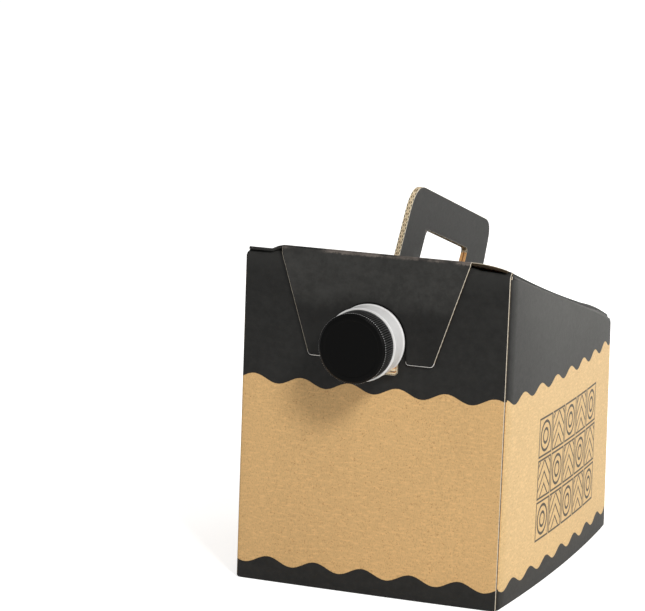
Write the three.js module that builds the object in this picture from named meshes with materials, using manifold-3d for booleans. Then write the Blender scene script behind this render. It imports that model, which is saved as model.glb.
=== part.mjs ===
// Bag-in-box drinks carton: a folded corrugated carton with a sloping roof, a two-ply handle,
// a closing flap notched round the pouring spout, and a screw cap.
// Millimetres, +X right, +Y to the rear, +Z up, origin in the middle of the base.
import * as THREE from 'three';
import { mergeVertices } from 'three/addons/utils/BufferGeometryUtils.js';
import Module from 'manifold-3d';

const wasm = await Module();
wasm.setup();

// Clearances
const seatGap = 0.3;
const openingGap = 0.4;
const slotGap = 0.6;

// Carton panels
const board = 1.6;
const creaseDepth = 0.1;
const cartonWidth = 160;
const cartonDepth = 225;
const frontHeight = 194.4;
const rearHeight = 134.4;
const cornerRadius = 1.6;
const sideBow = 4.1;
const frontBow = 0.85;
const rearPinch = 2.6;

// Glued joint at the front right corner
const jointSetback = 0.6;
const glueTabWidth = 32;
const glueTabEndGap = 9;

// Base flaps
const baseSeamY = -18;
const baseTongueLength = 28;
const baseTongueHalfWidth = 38;
const baseTongueTaper = 8;
const baseSeamWidth = 0.8;

// Roof: front dust flap, side flaps and lid
const dustFlapLength = 45;
const dustFlapHalfWidth = 60;
const dustFlapRise = 0.8;
const dustFlapFoldRadius = 2.2;
const sideFlapSetback = 12;
const sideFlapRearGap = 1;
const foldEndGap = 1.2;
const lidEdgeInset = 2.5;
const lidOverhang = 1.2;
const lidRise = 2.6;
const lidRiseHalfWidth = 57;
const lidFoldRadius = 1.8;

// Handle, measured in the plane of the roof
const handleStart = 30.5;
const handleLength = 152;
const handleHeight = 47.7;
const handleCornerRadius = 15;
const handleLean = THREE.MathUtils.degToRad(7.5);
const handHoleLength = 81;
const handHoleTop = 26;
const handHoleCornerRadius = 5;

// Closing flap
const flapTopHalfWidth = 56.6;
const flapBottomHalfWidth = 38.3;
const flapBottomHeight = 137.3;
const flapCornerRadius = 3;
const flapFoldRadius = 1.6;

// Spout, measured outwards from the front panel
const spoutX = -1;
const spoutHeight = 149.5;
const spoutBoreRadius = 15.6;
const neckRadius = 18;
const collarRadius = 20.7;
const collarWaistRadius = 20.3;
const collarSetout = 2.65;
const collarLength = 16;
const collarLipThickness = 1.3;
const finishRadius = 17.3;
const finishLength = 11.1;
const weldFlangeRadius = 26;
const weldFlangeThickness = 2.2;
const supportTabHalfWidth = 16.5;
const supportTabDrop = 19;

// Cap and its sealing disc
const capRadius = 20.1;
const capTopRadius = 18.7;
const capChamfer = 1.3;
const capWall = 1.5;
const capTopThickness = 1.3;
const capRibCount = 120;
const capRibDepth = 0.35;
const linerThickness = 1;

// Filled bag
const bagSideGap = 3;
const bagRearGap = 2;
const bagRound = 12;
const bagRearHeight = 52.5;
const bagShoulderDepth = 62;
const bagShoulderHeight = 85;
const bagNeckDepth = 16;
const bagNeckRise = 32;

// Smoothness of curves
const curveSegments = 8;
const roundSegments = 56;
const roofSteps = 6;

// Derived places
const roofAngle = Math.atan2(frontHeight - rearHeight, cartonDepth);
const roofLength = Math.hypot(frontHeight - rearHeight, cartonDepth);
const frontY = -cartonDepth / 2;
const panelFaceY = frontY - frontBow;
const flapCentreY = panelFaceY - seatGap - board / 2;
const lidCentre = seatGap + board / 2;
const lidHalfWidth = cartonWidth / 2 - lidEdgeInset;
const handleEnd = handleStart + handleLength;
const creasedBoard = board - 2 * creaseDepth;
const baseTop = 2 * board;
const capBase = collarSetout + collarLength + seatGap;
const neckEnd = collarSetout + collarLength + finishLength;
const capFace = neckEnd + 2 * seatGap + linerThickness + capTopThickness;
const holeRadius = neckRadius + seatGap;
const notchHalfWidth = collarRadius + openingGap;

// Layers of board: how far walls, folds and strips run past each other
const wallTopDrop = 3 * board;
const foldDrop = 6 * board;
const shoulderInset = 3 * board;
const glueTabInset = 2.5 * board;
const slotCutHeight = 3 * board;
const lidStripLength = 4 * board;
const outlineReach = 10 * board;

// Manifold solids and back again
function toSolid(geometry) {
  const bare = geometry.clone();
  bare.deleteAttribute('normal');
  bare.deleteAttribute('uv');
  const merged = mergeVertices(bare, 1e-4);
  const mesh = new wasm.Mesh({
    numProp: 3,
    vertProperties: Float32Array.from(merged.attributes.position.array),
    triVerts: Uint32Array.from(merged.index.array),
  });
  return new wasm.Manifold(mesh);
}

function toGeometry(solid) {
  const mesh = solid.getMesh();
  const geometry = new THREE.BufferGeometry();
  geometry.setAttribute('position', new THREE.BufferAttribute(mesh.vertProperties, 3));
  geometry.setIndex(new THREE.BufferAttribute(mesh.triVerts, 1));
  geometry.computeVertexNormals();
  return geometry;
}

// Frames that lay a drawn section where it belongs
function frameFrom(first, second, third, origin = new THREE.Vector3()) {
  return new THREE.Matrix4().makeBasis(first, second, third).setPosition(origin);
}

const right = new THREE.Vector3(1, 0, 0);
const rearward = new THREE.Vector3(0, 1, 0);
const up = new THREE.Vector3(0, 0, 1);
const down = new THREE.Vector3(0, 0, -1);
const downRoof = new THREE.Vector3(0, Math.cos(roofAngle), -Math.sin(roofAngle));
const upRoof = downRoof.clone().negate();
const offRoof = new THREE.Vector3(0, Math.sin(roofAngle), Math.cos(roofAngle));
const roofOrigin = new THREE.Vector3(0, frontY, frontHeight);

// A section drawn in Y and Z, running along X
const sideSection = frameFrom(rearward, up, right);
// A section drawn across the roof, running up the slope
const acrossRoof = frameFrom(right, offRoof, upRoof, roofOrigin);
// A section drawn along the roof and off it, running along X
const alongRoof = frameFrom(downRoof, offRoof, right, roofOrigin);
// A section drawn in X and Z, running to the rear
const frontSection = frameFrom(right, down, rearward);

function prism(shape, frame, start, end, steps = 1) {
  const geometry = new THREE.ExtrudeGeometry(shape, {
    depth: end - start,
    steps,
    bevelEnabled: false,
    curveSegments,
  });
  geometry.translate(0, 0, start);
  return geometry.applyMatrix4(frame);
}

function block(width, depth, height, x, y, z) {
  return new THREE.BoxGeometry(width, depth, height).translate(x, y, z);
}

function moveVertices(geometry, change) {
  const position = geometry.attributes.position;
  const point = new THREE.Vector3();
  for (let i = 0; i < position.count; i += 1) {
    point.fromBufferAttribute(position, i);
    change(point);
    position.setXYZ(i, point.x, point.y, point.z);
  }
  return geometry;
}

// The panels bow outwards, and the rear corners lean in towards the top
function bowPanels(geometry) {
  return moveVertices(geometry, (point) => {
    const sideShare = THREE.MathUtils.clamp((Math.abs(point.x) * 4) / cartonWidth - 1, 0, 1);
    const alongSide = 1 - (2 * point.y / cartonDepth) ** 2;
    point.x += Math.sign(point.x) * sideBow * Math.max(alongSide, 0) * sideShare;
    const frontShare = THREE.MathUtils.clamp((-point.y * 4) / cartonDepth - 1, 0, 1);
    const alongFront = 1 - (2 * point.x / cartonWidth) ** 2;
    point.y -= frontBow * Math.max(alongFront, 0) * frontShare;
  });
}

function pinchRear(geometry) {
  return moveVertices(geometry, (point) => {
    const rearShare = THREE.MathUtils.clamp(point.y / cartonDepth + 0.5, 0, 1) ** 2;
    const lean = rearPinch * rearShare * (point.z / rearHeight);
    point.x -= lean * point.x / (cartonWidth / 2);
  });
}

// The middle of the roof stands proud at the front, where the layers pile up
function roofRise(x, along) {
  const beyond = Math.max(Math.abs(x) - lidRiseHalfWidth, 0) / (lidHalfWidth - lidRiseHalfWidth);
  const across = Math.max(1 - beyond ** 2, 0);
  return lidRise * across * THREE.MathUtils.clamp(1 - along / roofLength, 0, 1);
}

function raiseRoof(geometry) {
  const fromOrigin = new THREE.Vector3();
  return moveVertices(geometry, (point) => {
    const along = fromOrigin.subVectors(point, roofOrigin).dot(downRoof);
    point.addScaledVector(offRoof, roofRise(point.x, along));
  });
}

// A strip of board along a folded line, each fold rounded to the given radius
function foldedLine(points, radius) {
  const path = new THREE.Path();
  path.moveTo(points[0].x, points[0].y);
  for (let i = 1; i < points.length - 1; i += 1) {
    const before = points[i].clone().sub(points[i - 1]).normalize();
    const after = points[i + 1].clone().sub(points[i]).normalize();
    const reach = radius * Math.tan(Math.acos(THREE.MathUtils.clamp(before.dot(after), -1, 1)) / 2);
    const start = points[i].clone().addScaledVector(before, -reach);
    const end = points[i].clone().addScaledVector(after, reach);
    path.lineTo(start.x, start.y);
    path.quadraticCurveTo(points[i].x, points[i].y, end.x, end.y);
  }
  const last = points[points.length - 1];
  path.lineTo(last.x, last.y);
  return path.getPoints(curveSegments / 2);
}

function strip(points, thickness, radius = 0) {
  const line = radius > 0 ? foldedLine(points, radius) : points;
  const sides = { left: [], right: [] };
  line.forEach((point, i) => {
    const before = line[Math.max(i - 1, 0)];
    const after = line[Math.min(i + 1, line.length - 1)];
    const into = point.clone().sub(before).normalize();
    const out = after.clone().sub(point).normalize();
    const along = into.clone().add(out).normalize();
    const reference = into.lengthSq() > 0 ? into : out;
    const reach = thickness / 2 / Math.max(along.dot(reference), 0.5);
    const aside = new THREE.Vector2(-along.y, along.x).multiplyScalar(reach);
    sides.left.push(point.clone().add(aside));
    sides.right.push(point.clone().sub(aside));
  });
  return new THREE.Shape([...sides.left, ...sides.right.reverse()]);
}

function at(x, y) {
  return new THREE.Vector2(x, y);
}

// A straight row of points, so that a long face can follow the roof's rise
function rowAcross(fromX, toX, y) {
  const points = [];
  for (let i = 0; i <= roofSteps; i += 1) {
    points.push(at(THREE.MathUtils.lerp(fromX, toX, i / roofSteps), y));
  }
  return points;
}

function roundedOutline(corners) {
  const shape = new THREE.Shape();
  corners.forEach(({ x, y, radius }, i) => {
    const corner = at(x, y);
    const previous = corners[(i + corners.length - 1) % corners.length];
    const next = corners[(i + 1) % corners.length];
    const start = corner.clone().add(at(previous.x - x, previous.y - y).setLength(radius));
    const end = corner.clone().add(at(next.x - x, next.y - y).setLength(radius));
    if (i === 0) {
      shape.moveTo(start.x, start.y);
    } else {
      shape.lineTo(start.x, start.y);
    }
    shape.quadraticCurveTo(x, y, end.x, end.y);
  });
  shape.closePath();
  return shape;
}

// Plan of the walls: the front panel's cut edge laps the side panel's fold at the front right
function wallPlan() {
  const x = cartonWidth / 2;
  const y = cartonDepth / 2;
  const r = cornerRadius;
  const foldX = x - jointSetback - r / 2;
  const plan = new THREE.Shape();
  plan.moveTo(-x + r, -y);
  plan.quadraticCurveTo(0, -y - 2 * frontBow, x - jointSetback, -y);
  plan.lineTo(x - jointSetback, -y + board);
  plan.lineTo(foldX, -y + board);
  plan.quadraticCurveTo(x, -y + board, x, -y + board + r);
  plan.quadraticCurveTo(x + 2 * sideBow, 0, x, y - r);
  plan.quadraticCurveTo(x, y, x - r, y);
  plan.lineTo(-x + r, y);
  plan.quadraticCurveTo(-x, y, -x, y - r);
  plan.quadraticCurveTo(-x - 2 * sideBow, 0, -x, -y + r);
  plan.quadraticCurveTo(-x, -y, -x + r, -y);
  return plan;
}

function cavityPlan() {
  const x = cartonWidth / 2 - board;
  const y = cartonDepth / 2 - board;
  const plan = new THREE.Shape();
  plan.moveTo(-x, -y);
  plan.quadraticCurveTo(0, -y - 2 * frontBow, x, -y);
  plan.quadraticCurveTo(x + 2 * sideBow, 0, x, y);
  plan.lineTo(-x, y);
  plan.quadraticCurveTo(-x - 2 * sideBow, 0, -x, -y);
  return plan;
}

const flat = new THREE.Matrix4();
const headroom = 2 * frontHeight;

function aboveRoof(height) {
  const cutter = block(2 * cartonWidth, 2 * roofLength, headroom, 0, roofLength / 2, headroom / 2 + height);
  return toSolid(cutter.applyMatrix4(frameFrom(right, downRoof, offRoof, roofOrigin)));
}

function makeWalls() {
  const outside = toSolid(pinchRear(prism(wallPlan(), flat, 0, frontHeight)));
  const inside = toSolid(pinchRear(prism(cavityPlan(), flat, baseTop, headroom)));
  return outside.subtract(inside).subtract(aboveRoof(-wallTopDrop));
}

function makeGlueTab() {
  const tabX = cartonWidth / 2 - glueTabInset - glueTabWidth / 2;
  const buried = board / 2;
  const tabY = frontY + board - buried / 2 + board / 2;
  const height = frontHeight - 2 * glueTabEndGap;
  return toSolid(block(glueTabWidth, board + buried, height, tabX, tabY, frontHeight / 2));
}

// The base's outer layer ends in a tongue that is tucked through the opposite flap
function makeBaseSeam() {
  const reach = cartonWidth;
  const line = [
    at(-reach, baseSeamY),
    at(-baseTongueHalfWidth, baseSeamY),
    at(-baseTongueHalfWidth + baseTongueTaper, baseSeamY + baseTongueLength),
    at(baseTongueHalfWidth - baseTongueTaper, baseSeamY + baseTongueLength),
    at(baseTongueHalfWidth, baseSeamY),
    at(reach, baseSeamY),
  ];
  const seam = toSolid(prism(strip(line, baseSeamWidth), flat, -board, board));
  const inset = cornerRadius + board;
  const core = block(cartonWidth - 2 * inset, cartonDepth - 2 * inset, 4 * board, 0, 0, 0);
  return seam.intersect(toSolid(core));
}

function makeDustFlap() {
  const centre = dustFlapRise - board / 2;
  const foldZ = frontHeight + centre / Math.cos(roofAngle);
  const wallY = frontY + board / 2;
  const flapEnd = wallY + dustFlapLength * Math.cos(roofAngle);
  const line = [
    at(wallY, frontHeight - foldDrop),
    at(wallY, foldZ - (wallY - frontY) * Math.tan(roofAngle)),
    at(flapEnd, foldZ - (flapEnd - frontY) * Math.tan(roofAngle)),
  ];
  const section = strip(line, creasedBoard, dustFlapFoldRadius);
  const wide = cartonWidth / 2 - foldEndGap;
  const fold = toSolid(bowPanels(prism(section, sideSection, -wide, wide, roofSteps)));
  const wing = cartonWidth;
  const behindFold = frontY + 2 * (board + dustFlapFoldRadius);
  const offcut = (side) => {
    const x = side * (dustFlapHalfWidth + wing / 2);
    return toSolid(block(wing, cartonDepth, headroom, x, behindFold + cartonDepth / 2, headroom / 2));
  };
  return fold.subtract(offcut(-1)).subtract(offcut(1));
}

// Each side panel folds in under the lid and meets the other in the middle
function makeSideFlaps() {
  const wallX = cartonWidth / 2 - board / 2;
  const shoulderX = cartonWidth / 2 - shoulderInset;
  const flapV = -board / 2;
  const foldRight = foldedLine([at(wallX, -foldDrop), at(wallX, flapV), at(shoulderX, flapV)], cornerRadius);
  const foldLeft = foldRight.map((point) => at(-point.x, point.y)).reverse();
  const line = [
    ...foldRight,
    ...rowAcross(shoulderX, lidRiseHalfWidth, flapV).slice(1),
    ...rowAcross(-lidRiseHalfWidth, -shoulderX, flapV).slice(0, -1),
    ...foldLeft,
  ];
  const section = strip(line, creasedBoard);
  const sheet = prism(section, acrossRoof, -(roofLength - sideFlapRearGap), -board, roofSteps);
  const recessWidth = 2 * (shoulderX - board);
  const recess = block(recessWidth, 2 * sideFlapSetback, headroom, 0, 0, 0);
  const frontRecess = toSolid(recess.applyMatrix4(frameFrom(right, downRoof, offRoof, roofOrigin)));
  return toSolid(pinchRear(bowPanels(raiseRoof(sheet)))).subtract(frontRecess);
}

function makeLidSheet() {
  const section = strip(rowAcross(-lidHalfWidth, -lidRiseHalfWidth, lidCentre)
    .concat(rowAcross(lidRiseHalfWidth, lidHalfWidth, lidCentre)), board);
  const rearFold = roofLength - board - lidFoldRadius;
  return toSolid(pinchRear(raiseRoof(prism(section, acrossRoof, -rearFold, lidOverhang, roofSteps))));
}

function makeRearFold() {
  const wallY = cartonDepth / 2 - board / 2;
  const lineAt = (y) => rearHeight + lidCentre / Math.cos(roofAngle) + (cartonDepth / 2 - y) * Math.tan(roofAngle);
  const lidY = wallY - 3 * (board + lidFoldRadius);
  const line = [at(lidY, lineAt(lidY)), at(wallY, lineAt(wallY)), at(wallY, rearHeight - foldDrop)];
  const section = strip(line, creasedBoard, lidFoldRadius);
  const wide = lidHalfWidth;
  return toSolid(pinchRear(prism(section, sideSection, -wide, wide)));
}

// The lid's front fold, drawn with the closing flap and then parted from it at the hinge
function frontFoldLine() {
  const lineAt = (y) => frontHeight + (lidCentre + lidRise) / Math.cos(roofAngle)
    - (y - frontY) * Math.tan(roofAngle);
  const lidY = frontY + lidStripLength;
  return [at(lidY, lineAt(lidY)), at(flapCentreY, lineAt(flapCentreY)), at(flapCentreY, flapBottomHeight)];
}

function foldHinge() {
  const [lidPoint, corner, flapPoint] = frontFoldLine();
  const intoLid = lidPoint.clone().sub(corner).normalize();
  const intoFlap = flapPoint.clone().sub(corner).normalize();
  const inward = intoLid.clone().add(intoFlap).normalize();
  const halfAngle = Math.acos(intoLid.dot(intoFlap)) / 2;
  const arcMiddle = (flapFoldRadius / Math.tan(halfAngle)) * Math.cos(halfAngle) / 2;
  const point = corner.clone().addScaledVector(inward, arcMiddle - creasedBoard / 2);
  return { point, inward };
}

function foldSide(towardsFlap) {
  const { point, inward } = foldHinge();
  const towards = at(inward.y, -inward.x).multiplyScalar(towardsFlap ? 1 : -1);
  const size = headroom;
  const centre = point.clone().addScaledVector(towards, size / 2 + seatGap / 2);
  const angle = Math.atan2(towards.y, towards.x);
  const cutter = new THREE.BoxGeometry(2 * cartonWidth, size, 2 * size).rotateX(angle);
  return toSolid(cutter.translate(0, centre.x, centre.y));
}

function flapFold() {
  const section = strip(frontFoldLine(), creasedBoard, flapFoldRadius);
  return toSolid(prism(section, sideSection, -flapTopHalfWidth, flapTopHalfWidth));
}

function makeHandle() {
  const top = handleHeight;
  const foot = -board / 2;
  const outline = roundedOutline([
    { x: handleStart, y: foot, radius: board / 4 },
    { x: handleEnd, y: foot, radius: board / 4 },
    { x: handleEnd, y: top, radius: handleCornerRadius },
    { x: handleStart, y: top, radius: handleCornerRadius },
  ]);
  const legWidth = (handleLength - handHoleLength) / 2;
  const holeStart = handleStart + legWidth;
  const holeEnd = holeStart + handHoleLength;
  outline.holes.push(roundedOutline([
    { x: holeStart, y: board / 2, radius: board / 4 },
    { x: holeStart, y: handHoleTop, radius: handHoleCornerRadius },
    { x: holeEnd, y: handHoleTop, radius: handHoleCornerRadius },
    { x: holeEnd, y: board / 2, radius: board / 4 },
  ]));
  const slab = raiseRoof(prism(outline, alongRoof, -board, board));
  const fromOrigin = new THREE.Vector3();
  moveVertices(slab, (point) => {
    const height = fromOrigin.subVectors(point, roofOrigin).dot(offRoof);
    point.x += Math.tan(handleLean) * Math.max(height, 0);
  });
  return toSolid(slab);
}

function makeHandleSlot() {
  const lean = Math.tan(handleLean) * (lidCentre + lidRise + board);
  const width = 2 * (board + slotGap) + lean;
  const length = handleLength + 2 * slotGap;
  const height = slotCutHeight;
  const slot = block(width, length, height, lean / 2, handleStart + handleLength / 2, lidCentre);
  return toSolid(raiseRoof(slot.applyMatrix4(frameFrom(right, downRoof, offRoof, roofOrigin))));
}

function makeSupportTab() {
  const height = supportTabDrop;
  const thickness = board + frontBow;
  const tabZ = spoutHeight - height / 2;
  const tabY = panelFaceY - board + thickness / 2;
  return toSolid(block(2 * supportTabHalfWidth, thickness, height, spoutX, tabY, tabZ));
}

function spoutCylinder(radius, fromY, toY) {
  const rod = new THREE.CylinderGeometry(radius, radius, toY - fromY, roundSegments);
  return toSolid(rod.translate(spoutX, (fromY + toY) / 2, 0).translate(0, 0, spoutHeight));
}

function makeCarton() {
  const lid = makeLidSheet()
    .add(flapFold().intersect(foldSide(false)))
    .subtract(makeHandleSlot());
  return makeWalls()
    .add(makeGlueTab())
    .subtract(makeBaseSeam())
    .add(makeDustFlap())
    .add(makeSideFlaps())
    .add(makeHandle())
    .add(makeRearFold())
    .add(lid)
    .add(makeSupportTab())
    .subtract(spoutCylinder(holeRadius, panelFaceY - 2 * board, frontY + 2 * board));
}

// The closing flap hangs from the lid's fold, its notch open downwards to clear the collar and cap
function flapOutline() {
  const top = frontHeight + 4 * (board + lidRise);
  const slope = (flapTopHalfWidth - flapBottomHalfWidth) / (frontHeight - flapBottomHeight);
  const topHalfWidth = flapBottomHalfWidth + slope * (top - flapBottomHeight);
  return roundedOutline([
    { x: -flapBottomHalfWidth, y: flapBottomHeight, radius: flapCornerRadius },
    { x: spoutX - notchHalfWidth, y: flapBottomHeight, radius: flapCornerRadius },
    { x: spoutX - notchHalfWidth, y: spoutHeight, radius: board },
    { x: spoutX + notchHalfWidth, y: spoutHeight, radius: board },
    { x: spoutX + notchHalfWidth, y: flapBottomHeight, radius: flapCornerRadius },
    { x: flapBottomHalfWidth, y: flapBottomHeight, radius: flapCornerRadius },
    { x: topHalfWidth, y: top, radius: board },
    { x: -topHalfWidth, y: top, radius: board },
  ]);
}

function makeClosingFlap() {
  const upright = frameFrom(right, up, rearward.clone().negate());
  const outline = toSolid(prism(flapOutline(), upright, -frontY - outlineReach, -frontY + outlineReach));
  return flapFold()
    .intersect(outline)
    .intersect(foldSide(true))
    .subtract(spoutCylinder(notchHalfWidth, panelFaceY - 4 * board, frontY));
}

// Turned pieces: radius and distance outwards from the front panel
function turned(profile, segments = roundSegments) {
  const points = profile.map(([radius, outwards]) => at(radius, outwards));
  points.push(points[0].clone());
  const body = new THREE.LatheGeometry(points, segments);
  return toSolid(body.rotateZ(Math.PI).translate(spoutX, panelFaceY, spoutHeight));
}

function makeSpout() {
  const flangeFront = -board - seatGap;
  const flangeBack = flangeFront - weldFlangeThickness;
  const collarEnd = collarSetout + collarLength;
  return turned([
    [spoutBoreRadius, flangeBack],
    [weldFlangeRadius, flangeBack],
    [weldFlangeRadius, flangeFront],
    [neckRadius, flangeFront],
    [neckRadius, collarSetout],
    [collarRadius, collarSetout],
    [collarRadius, collarSetout + collarLipThickness],
    [collarWaistRadius, collarSetout + collarLipThickness],
    [collarWaistRadius, collarEnd - collarLipThickness],
    [collarRadius, collarEnd - collarLipThickness],
    [collarRadius, collarEnd],
    [finishRadius, collarEnd],
    [finishRadius, neckEnd],
    [spoutBoreRadius, neckEnd],
  ]);
}

function ribbedOutline() {
  const points = [];
  for (let i = 0; i < 2 * capRibCount; i += 1) {
    const angle = (i * Math.PI) / capRibCount;
    const radius = capRadius - (i % 2) * capRibDepth;
    points.push(at(spoutX + radius * Math.cos(angle), -spoutHeight + radius * Math.sin(angle)));
  }
  return new THREE.Shape(points);
}

function makeCap() {
  const ribs = toSolid(prism(ribbedOutline(), frontSection, panelFaceY - capFace, panelFaceY - capBase));
  const envelope = turned([
    [0, capBase - capWall],
    [capRadius + capWall, capBase - capWall],
    [capRadius + capWall, capFace - capChamfer - capWall],
    [capRadius, capFace - capChamfer],
    [capTopRadius, capFace],
    [0, capFace],
  ]);
  const inside = spoutCylinder(capRadius - capRibDepth - capWall, panelFaceY - capFace + capTopThickness, frontY);
  return ribs.intersect(envelope).subtract(inside);
}

function makeCapLiner() {
  const near = neckEnd + seatGap;
  return spoutCylinder(finishRadius, panelFaceY - near - linerThickness, panelFaceY - near);
}

// The filled bag stands on the base and rises to the spout
function makeBag() {
  const foot = baseTop + seatGap;
  const front = panelFaceY + board + weldFlangeThickness + 2 * seatGap;
  const rear = cartonDepth / 2 - board - bagRearGap;
  const profile = new THREE.Shape([
    at(front, foot),
    at(rear, foot),
    at(rear, bagRearHeight),
    at(front + bagShoulderDepth, bagShoulderHeight),
    at(front + bagNeckDepth, spoutHeight + bagNeckRise),
    at(front, spoutHeight + bagNeckRise),
  ]);
  const halfWidth = cartonWidth / 2 - board - bagSideGap;
  const bag = new THREE.ExtrudeGeometry(profile, {
    depth: 2 * (halfWidth - bagRound),
    steps: 1,
    bevelEnabled: true,
    bevelThickness: bagRound,
    bevelSize: bagRound / 2,
    bevelOffset: -bagRound / 2,
    bevelSegments: 4,
  });
  bag.translate(0, 0, -(halfWidth - bagRound)).applyMatrix4(sideSection);
  return toSolid(bag);
}

function named(name, solid, colour, roughness) {
  const material = new THREE.MeshStandardMaterial({ color: colour, roughness, metalness: 0 });
  const mesh = new THREE.Mesh(toGeometry(solid), material);
  mesh.name = name;
  return mesh;
}

const drinksCarton = new THREE.Group();
drinksCarton.add(
  named('carton', makeCarton(), 0xd2ab74, 0.85),
  named('closing_flap', makeClosingFlap(), 0x333331, 0.7),
  named('spout_fitment', makeSpout(), 0xe4e4e4, 0.4),
  named('cap', makeCap(), 0x141414, 0.5),
  named('cap_liner', makeCapLiner(), 0xf0efe8, 0.8),
  named('bag', makeBag(), 0xc9ccd0, 0.35),
);

export default drinksCarton;
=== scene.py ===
"""Looks of a corrugated drinks carton with a pouring spout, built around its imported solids."""
import math

import bmesh
import bpy
from mathutils import Matrix, Vector, noise


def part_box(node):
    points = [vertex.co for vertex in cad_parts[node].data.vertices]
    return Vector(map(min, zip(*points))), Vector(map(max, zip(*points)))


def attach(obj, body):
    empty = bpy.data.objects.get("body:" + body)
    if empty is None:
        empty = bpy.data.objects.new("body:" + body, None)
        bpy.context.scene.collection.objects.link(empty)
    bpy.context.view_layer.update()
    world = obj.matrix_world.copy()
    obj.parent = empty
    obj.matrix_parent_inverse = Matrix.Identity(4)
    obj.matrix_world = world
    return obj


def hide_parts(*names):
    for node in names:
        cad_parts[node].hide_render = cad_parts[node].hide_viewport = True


bl_info = {
    "name": "Drinks Carton",
    "version": (1, 0, 0),
    "blender": (4, 5, 0),
    "location": "View3D > Sidebar > Carton",
    "description": "Models and finishes a corrugated drinks carton with a handle and a spout",
    "category": "Object",
}

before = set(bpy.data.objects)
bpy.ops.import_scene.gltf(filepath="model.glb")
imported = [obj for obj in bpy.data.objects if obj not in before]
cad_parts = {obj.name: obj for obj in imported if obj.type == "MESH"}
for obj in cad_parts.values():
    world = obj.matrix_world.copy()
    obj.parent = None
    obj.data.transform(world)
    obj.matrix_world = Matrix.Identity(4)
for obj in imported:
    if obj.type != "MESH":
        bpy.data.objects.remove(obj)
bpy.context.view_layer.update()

MM = 0.001
RIGHT = Vector((1, 0, 0))
REARWARD = Vector((0, 1, 0))
UP = Vector((0, 0, 1))

# How near a place has to be to be picked
NEAR = 0.02 * MM

# Millimetres, for the finishes
FLUTE_PITCH = 3.1
WAVE_PITCH = 29.3
WAVE_HEIGHT = 2.38
UPPER_BORDER = 120.4
LOWER_BORDER = 12.8

CUT_BURR = 0.32 * MM
LEFT_LID_SLOPE = 5 * MM
LID_TOP = 1.9 * MM
FLAP_FOLD = 2.1 * MM
SPOUT_X = -1 * MM

# Radians left open between the lid's half of the front fold and the flap's
HALF_FOLD_GAP = 0.02


def length(name, millimetres, description):
    """A size that a user would change"""
    return bpy.props.FloatProperty(
        name=name, description=description, default=millimetres * MM, min=0.0,
        unit="LENGTH", subtype="DISTANCE", precision=5)


def colour(name, value, description):
    """A colour that a user would change"""
    return bpy.props.FloatVectorProperty(
        name=name, description=description, default=value, size=3, min=0.0, max=1.0,
        subtype="COLOR")


class CartonSizes(bpy.types.PropertyGroup):
    """Sizes of the folded carton"""
    board: length("Board", 1.6, "Thickness of the corrugated board")
    width: length("Width", 160, "Width between the side folds")
    depth: length("Depth", 225, "Depth from the front panel to the rear one")
    front_height: length("Front height", 194.4, "Height of the front panel's fold")
    rear_height: length("Rear height", 134.4, "Height of the rear panel's fold")
    side_bow: length("Side bow", 4.1, "How far the side panels bulge")
    front_bow: length("Front bow", 0.85, "How far the front panel bulges")
    rear_pinch: length("Rear pinch", 2.6, "How far the rear corners lean in at the top")
    lid_width: length("Lid width", 155, "Width of the lid")
    lid_rise: length("Lid rise", 2.6, "How far the lid's middle stands proud at the front")
    lid_rise_width: length("Lid rise width", 114, "Width of the lid's raised middle")
    handle_start: length("Handle start", 30.5, "Distance of the handle from the front fold")
    handle_length: length("Handle length", 152, "Length of the handle along the roof")
    handle_height: length("Handle height", 47.7, "Height of the handle off the roof")
    hole_length: length("Hand hole length", 81, "Length of the hand hole")
    hole_top: length("Hand hole top", 26, "Height of the hand hole's upper edge")
    flap_top_width: length("Flap top width", 113.2, "Width of the closing flap at its fold")
    flap_bottom_width: length("Flap bottom width", 76.6, "Width of the closing flap's lower edge")
    flap_bottom: length("Flap bottom", 137.3, "Height of the closing flap's lower edge")


class SpoutSizes(bpy.types.PropertyGroup):
    """Sizes of the spout and its cap"""
    height: length("Height", 149.5, "Height of the spout's axis")
    collar_radius: length("Collar radius", 21.1, "Radius of the collar's two lips")
    waist_radius: length("Waist radius", 20.65, "Radius of the collar between its lips")
    collar_start: length("Collar start", 2.65, "Where the collar begins in front of the panel")
    collar_length: length("Collar length", 16, "Length of the collar")
    finish_radius: length("Finish radius", 17.3, "Radius of the threaded neck")
    finish_length: length("Finish length", 11.1, "Length of the threaded neck")
    bore_radius: length("Bore radius", 15.6, "Radius of the pouring bore")
    cap_radius: length("Cap radius", 20.1, "Radius over the cap's ribs")
    cap_top_radius: length("Cap top radius", 18.7, "Radius of the cap's flat face")
    rib_depth: length("Rib depth", 0.35, "Depth of the grooves between the ribs")
    rib_count: bpy.props.IntProperty(
        name="Ribs", description="Number of ribs round the cap", default=96, min=12)


class CartonColours(bpy.types.PropertyGroup):
    """Colours of the carton's finishes"""
    kraft: colour("Kraft", (0.66, 0.42, 0.185), "Outer liner of the board")
    inner: colour("Inner kraft", (0.72, 0.39, 0.155), "Inner liner and flutes")
    ink: colour("Ink", (0.0106, 0.0105, 0.0099), "Black print")
    fitment: colour("Fitment", (0.80, 0.80, 0.80), "White plastic of the spout")
    cap: colour("Cap", (0.0025, 0.0025, 0.0025), "Black plastic of the cap")
    film: colour("Film", (0.55, 0.57, 0.60), "Film of the bag")
    foam: colour("Foam", (0.86, 0.84, 0.78), "Foamed disc in the cap")
    floor: colour("Floor", (0.93, 0.93, 0.92), "Floor under the carton")


def sizes():
    return bpy.context.scene.carton_sizes


def spout():
    return bpy.context.scene.spout_sizes


def colours():
    return bpy.context.scene.carton_colours


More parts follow.
